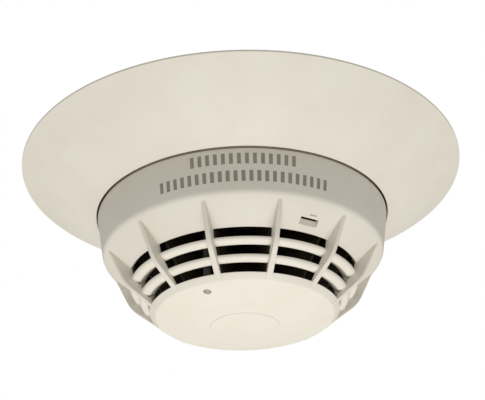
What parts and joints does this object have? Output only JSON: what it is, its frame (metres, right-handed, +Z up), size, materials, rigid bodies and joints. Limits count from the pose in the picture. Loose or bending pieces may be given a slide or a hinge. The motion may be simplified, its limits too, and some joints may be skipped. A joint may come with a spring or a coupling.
{
  "type": "heat detector",
  "caption": "Round ceiling heat detector: a louvred, ribbed plug-in head with a domed cap, twist-locked into a base behind a shallow conical trim ring.",
  "frame": {"origin": "centre of the ceiling face, where the base's back and the trim ring's rim meet the ceiling", "axes": "+Z up into the ceiling along the twist axis, the head hangs towards -Z; the release window lies 30 degrees from -Y towards +X; the long screw slots lie along X and the short ones along Y"},
  "size_m": [0.152, 0.152, 0.0575],
  "materials": {
    "cream_plastic": "satin moulded",
    "grey_plastic": "satin moulded",
    "black_plastic": "matt moulded",
    "dial_plastic": "satin moulded",
    "tinned_bronze": "tin plated",
    "zinc_steel": "zinc plated",
    "spring_steel": "drawn",
    "board_laminate": "solder mask over glass fibre laminate",
    "black_epoxy": "moulded",
    "can_aluminium": "drawn",
    "clear_glass": "clear",
    "clear_plastic": "clear, polished"
  },
  "bodies": {
    "base": {"trim_ring": "cream_plastic", "mounting_base": "cream_plastic", "contact_clip_1": "tinned_bronze", "contact_clip_2": "tinned_bronze", "contact_clip_3": "tinned_bronze", "contact_clip_4": "tinned_bronze", "wire_clamps": "zinc_steel", "terminal_screws": "zinc_steel", "lever_pin": "spring_steel"},
    "lever": {"lock_lever": "grey_plastic", "lever_spring": "spring_steel"},
    "head": {"head_cover": "cream_plastic", "rear_housing": "cream_plastic", "contact_blade_1": "tinned_bronze", "contact_blade_2": "tinned_bronze", "contact_blade_3": "tinned_bronze", "contact_blade_4": "tinned_bronze", "blade_rivets": "zinc_steel", "circuit_board": "board_laminate", "board_screws": "zinc_steel", "chamber_liner": "black_plastic", "tens_switch": "grey_plastic", "ones_switch": "grey_plastic", "microcontroller": "black_epoxy", "capacitor": "can_aluminium", "reed_switch": "clear_glass", "surge_diode": "black_epoxy", "surface_parts": "black_epoxy", "status_led": "clear_plastic", "light_pipe": "clear_plastic", "thermistor": "black_epoxy", "thermistor_leads": "tinned_bronze", "thermistor_holder": "black_plastic"},
    "tens_dial": {"tens_dial": "dial_plastic"},
    "ones_dial": {"ones_dial": "dial_plastic"}
  },
  "joints": [
    {"name": "head_twist", "type": "hinge", "parent": "base", "child": "head", "pos_m": [0, 0, 0], "axis": [0, 0, -1], "range_deg": [0, 18]},
    {"name": "lever_swing", "type": "hinge", "parent": "base", "child": "lever", "pos_m": [0.02295, -0.03975, -0.0054], "axis": [-0.866, -0.5, 0], "range_deg": [-6, 3], "stiffness_Nm_per_rad": 0.02},
    {"name": "tens_dial_turn", "type": "hinge", "parent": "head", "child": "tens_dial", "pos_m": [-0.008, 0, -0.0134], "axis": [0, 0, 1], "continuous": true},
    {"name": "ones_dial_turn", "type": "hinge", "parent": "head", "child": "ones_dial", "pos_m": [0.008, 0, -0.0134], "axis": [0, 0, 1], "continuous": true}
  ]
}
